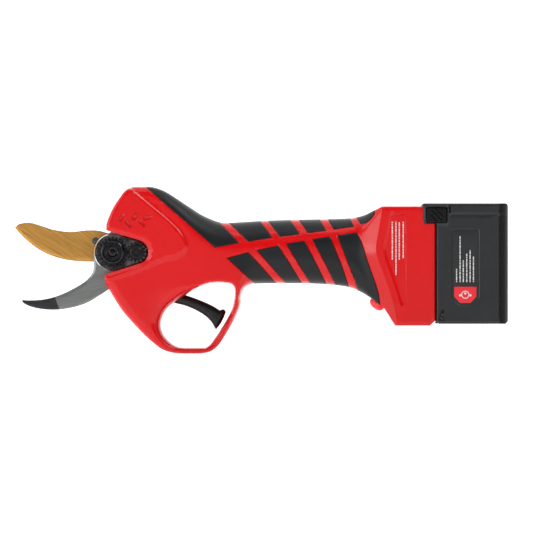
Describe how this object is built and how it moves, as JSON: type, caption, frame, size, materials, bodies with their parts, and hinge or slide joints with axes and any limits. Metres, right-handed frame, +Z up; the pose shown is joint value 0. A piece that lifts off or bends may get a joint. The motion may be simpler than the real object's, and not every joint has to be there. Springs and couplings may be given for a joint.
{
  "type": "battery electric pruner",
  "caption": "Hand-held battery pruner with a swinging blade over a hooked counter-blade, a finger ring round the trigger, and a lift-off battery behind the grip.",
  "frame": {"origin": "under the middle of the tool, at the height of the finger ring's foot", "axes": "+X from the blades to the battery, +Z up with the blades level and the finger ring below, +Y to the tool's right-hand side"},
  "size_m": [0.3408, 0.0484, 0.1155],
  "materials": {
    "housing_red": "fine moulded grain, satin",
    "pad_rubber": "soft matt",
    "blade_bronze": "bronze-coloured coating, lengthwise grinding",
    "blade_steel": "ground steel, dark coated tip",
    "black_steel": "blackened",
    "bright_steel": "machined",
    "frame_aluminium": "cast",
    "black_plastic": "fine moulded grain",
    "button_red": "smooth",
    "copper": "enamelled wire",
    "board_green": "solder mask",
    "chip_black": "moulded",
    "cell_wrap": "shrink wrap",
    "nickel": "plated",
    "label": "printed film",
    "brass": "plated",
    "holder_plastic": "moulded"
  },
  "bodies": {
    "body": {"housing_left": "housing_red", "housing_right": "housing_red", "grip_pads_left": "pad_rubber", "grip_pads_right": "pad_rubber", "housing_screws": "black_steel", "counter_blade": "blade_steel", "counter_screws": "black_steel", "pivot_bolt": "black_steel", "pivot_plate": "black_steel", "adjuster_pin": "bright_steel", "head_frame": "frame_aluminium", "shaft_bearings": "bright_steel", "gearbox_case": "frame_aluminium", "ring_gear": "bright_steel", "motor_can": "black_steel", "motor_stator": "bright_steel", "motor_windings": "copper", "motor_bearings": "bright_steel", "motor_wires": "chip_black", "control_board": "board_green", "board_parts": "chip_black", "button_switch": "chip_black", "trigger_pin": "bright_steel", "trigger_spring": "bright_steel", "sensor_board": "board_green", "spring_seat": "holder_plastic", "battery_rail": "black_plastic", "tool_contacts": "brass"},
    "blade": {"cutting_blade": "blade_bronze", "blade_dowel": "black_steel", "gear_segment": "bright_steel"},
    "rotor": {"motor_rotor": "bright_steel", "sun_gear_1": "bright_steel"},
    "carrier_1": {"planet_carrier_1": "bright_steel", "sun_gear_2": "bright_steel"},
    "carrier_2": {"planet_carrier_2": "bright_steel", "output_shaft": "bright_steel", "bevel_pinion": "bright_steel"},
    "nut": {"toothed_nut": "black_steel"},
    "adjuster": {"adjuster_pinion": "black_steel"},
    "trigger": {"trigger": "black_plastic", "trigger_magnet": "nickel"},
    "power_button": {"power_button": "button_red"},
    "battery": {"battery_case": "black_plastic", "battery_lid": "black_plastic", "battery_labels": "label", "latch_springs": "bright_steel", "battery_cells": "cell_wrap", "cell_holders": "holder_plastic", "cell_strips": "nickel", "protection_board": "board_green", "battery_contacts": "brass"},
    "latch_left": {"latch_left": "black_plastic"},
    "latch_right": {"latch_right": "black_plastic"},
    "planet_1a": {"planet_1a": "bright_steel"},
    "planet_1b": {"planet_1b": "bright_steel"},
    "planet_1c": {"planet_1c": "bright_steel"},
    "planet_2a": {"planet_2a": "bright_steel"},
    "planet_2b": {"planet_2b": "bright_steel"},
    "planet_2c": {"planet_2c": "bright_steel"}
  },
  "joints": [
    {"name": "motor_spin", "type": "hinge", "parent": "body", "child": "rotor", "pos_m": [0, 0.001, 0.07], "axis": [1, 0, 0], "range_deg": [0, 5366.67]},
    {"name": "carrier_1_spin", "type": "hinge", "parent": "body", "child": "carrier_1", "pos_m": [-0.038, 0.001, 0.07], "axis": [1, 0, 0], "range_deg": [0, 1073.34]},
    {"name": "carrier_2_spin", "type": "hinge", "parent": "body", "child": "carrier_2", "pos_m": [-0.048, 0.001, 0.07], "axis": [1, 0, 0], "range_deg": [0, 214.68]},
    {"name": "planet_1a_spin", "type": "hinge", "parent": "carrier_1", "child": "planet_1a", "pos_m": [-0.0337, 0.0085, 0.07], "axis": [1, 0, 0], "range_deg": [-2862.23, 0]},
    {"name": "planet_1b_spin", "type": "hinge", "parent": "carrier_1", "child": "planet_1b", "pos_m": [-0.0337, -0.00275, 0.0765], "axis": [1, 0, 0], "range_deg": [-2862.23, 0]},
    {"name": "planet_1c_spin", "type": "hinge", "parent": "carrier_1", "child": "planet_1c", "pos_m": [-0.0337, -0.00275, 0.0635], "axis": [1, 0, 0], "range_deg": [-2862.23, 0]},
    {"name": "planet_2a_spin", "type": "hinge", "parent": "carrier_2", "child": "planet_2a", "pos_m": [-0.0434, 0.0085, 0.07], "axis": [1, 0, 0], "range_deg": [-572.45, 0]},
    {"name": "planet_2b_spin", "type": "hinge", "parent": "carrier_2", "child": "planet_2b", "pos_m": [-0.0434, -0.00275, 0.0765], "axis": [1, 0, 0], "range_deg": [-572.45, 0]},
    {"name": "planet_2c_spin", "type": "hinge", "parent": "carrier_2", "child": "planet_2c", "pos_m": [-0.0434, -0.00275, 0.0635], "axis": [1, 0, 0], "range_deg": [-572.45, 0]},
    {"name": "blade_swing", "type": "hinge", "parent": "body", "child": "blade", "pos_m": [-0.1025, 0, 0.07], "axis": [0, -1, 0], "range_deg": [0, 46.01]},
    {"name": "nut_turn", "type": "hinge", "parent": "body", "child": "nut", "pos_m": [-0.1025, -0.0104, 0.07], "axis": [0, -1, 0], "range_deg": [-90, 90]},
    {"name": "adjuster_turn", "type": "hinge", "parent": "body", "child": "adjuster", "pos_m": [-0.08625, -0.0104, 0.07], "axis": [0, -1, 0], "range_deg": [-144.01, 144.01]},
    {"name": "trigger_pull", "type": "hinge", "parent": "body", "child": "trigger", "pos_m": [-0.0697, 0, 0.0426], "axis": [0, -1, 0], "range_deg": [0, 12], "stiffness_Nm_per_rad": 0.35, "springref_deg": -17.19, "deforming": ["trigger_spring"]},
    {"name": "button_press", "type": "slide", "parent": "body", "child": "power_button", "axis": [0.6122, 0, 0.7907], "range_m": [0, 0.0012], "stiffness_N_per_m": 900, "springref_m": -0.001},
    {"name": "latch_left_press", "type": "slide", "parent": "battery", "child": "latch_left", "axis": [0, 1, 0], "range_m": [0, 0.0012], "stiffness_N_per_m": 800, "springref_m": -0.001, "deforming": ["latch_springs"]},
    {"name": "latch_right_press", "type": "slide", "parent": "battery", "child": "latch_right", "axis": [0, -1, 0], "range_m": [0, 0.0012], "stiffness_N_per_m": 800, "springref_m": -0.001, "deforming": ["latch_springs"]},
    {"name": "battery_lift", "type": "slide", "parent": "body", "child": "battery", "axis": [0, 0, 1], "range_m": [0, 0.09]}
  ],
  "couplings": [
    {"joint": "carrier_1_spin", "follows": "motor_spin", "ratio": 0.2},
    {"joint": "carrier_2_spin", "follows": "motor_spin", "ratio": 0.04},
    {"joint": "planet_1a_spin", "follows": "motor_spin", "ratio": -0.53333},
    {"joint": "planet_1b_spin", "follows": "motor_spin", "ratio": -0.53333},
    {"joint": "planet_1c_spin", "follows": "motor_spin", "ratio": -0.53333},
    {"joint": "planet_2a_spin", "follows": "motor_spin", "ratio": -0.10667},
    {"joint": "planet_2b_spin", "follows": "motor_spin", "ratio": -0.10667},
    {"joint": "planet_2c_spin", "follows": "motor_spin", "ratio": -0.10667},
    {"joint": "blade_swing", "follows": "motor_spin", "ratio": 0.0085714},
    {"joint": "adjuster_turn", "follows": "nut_turn", "ratio": -1.6}
  ]
}
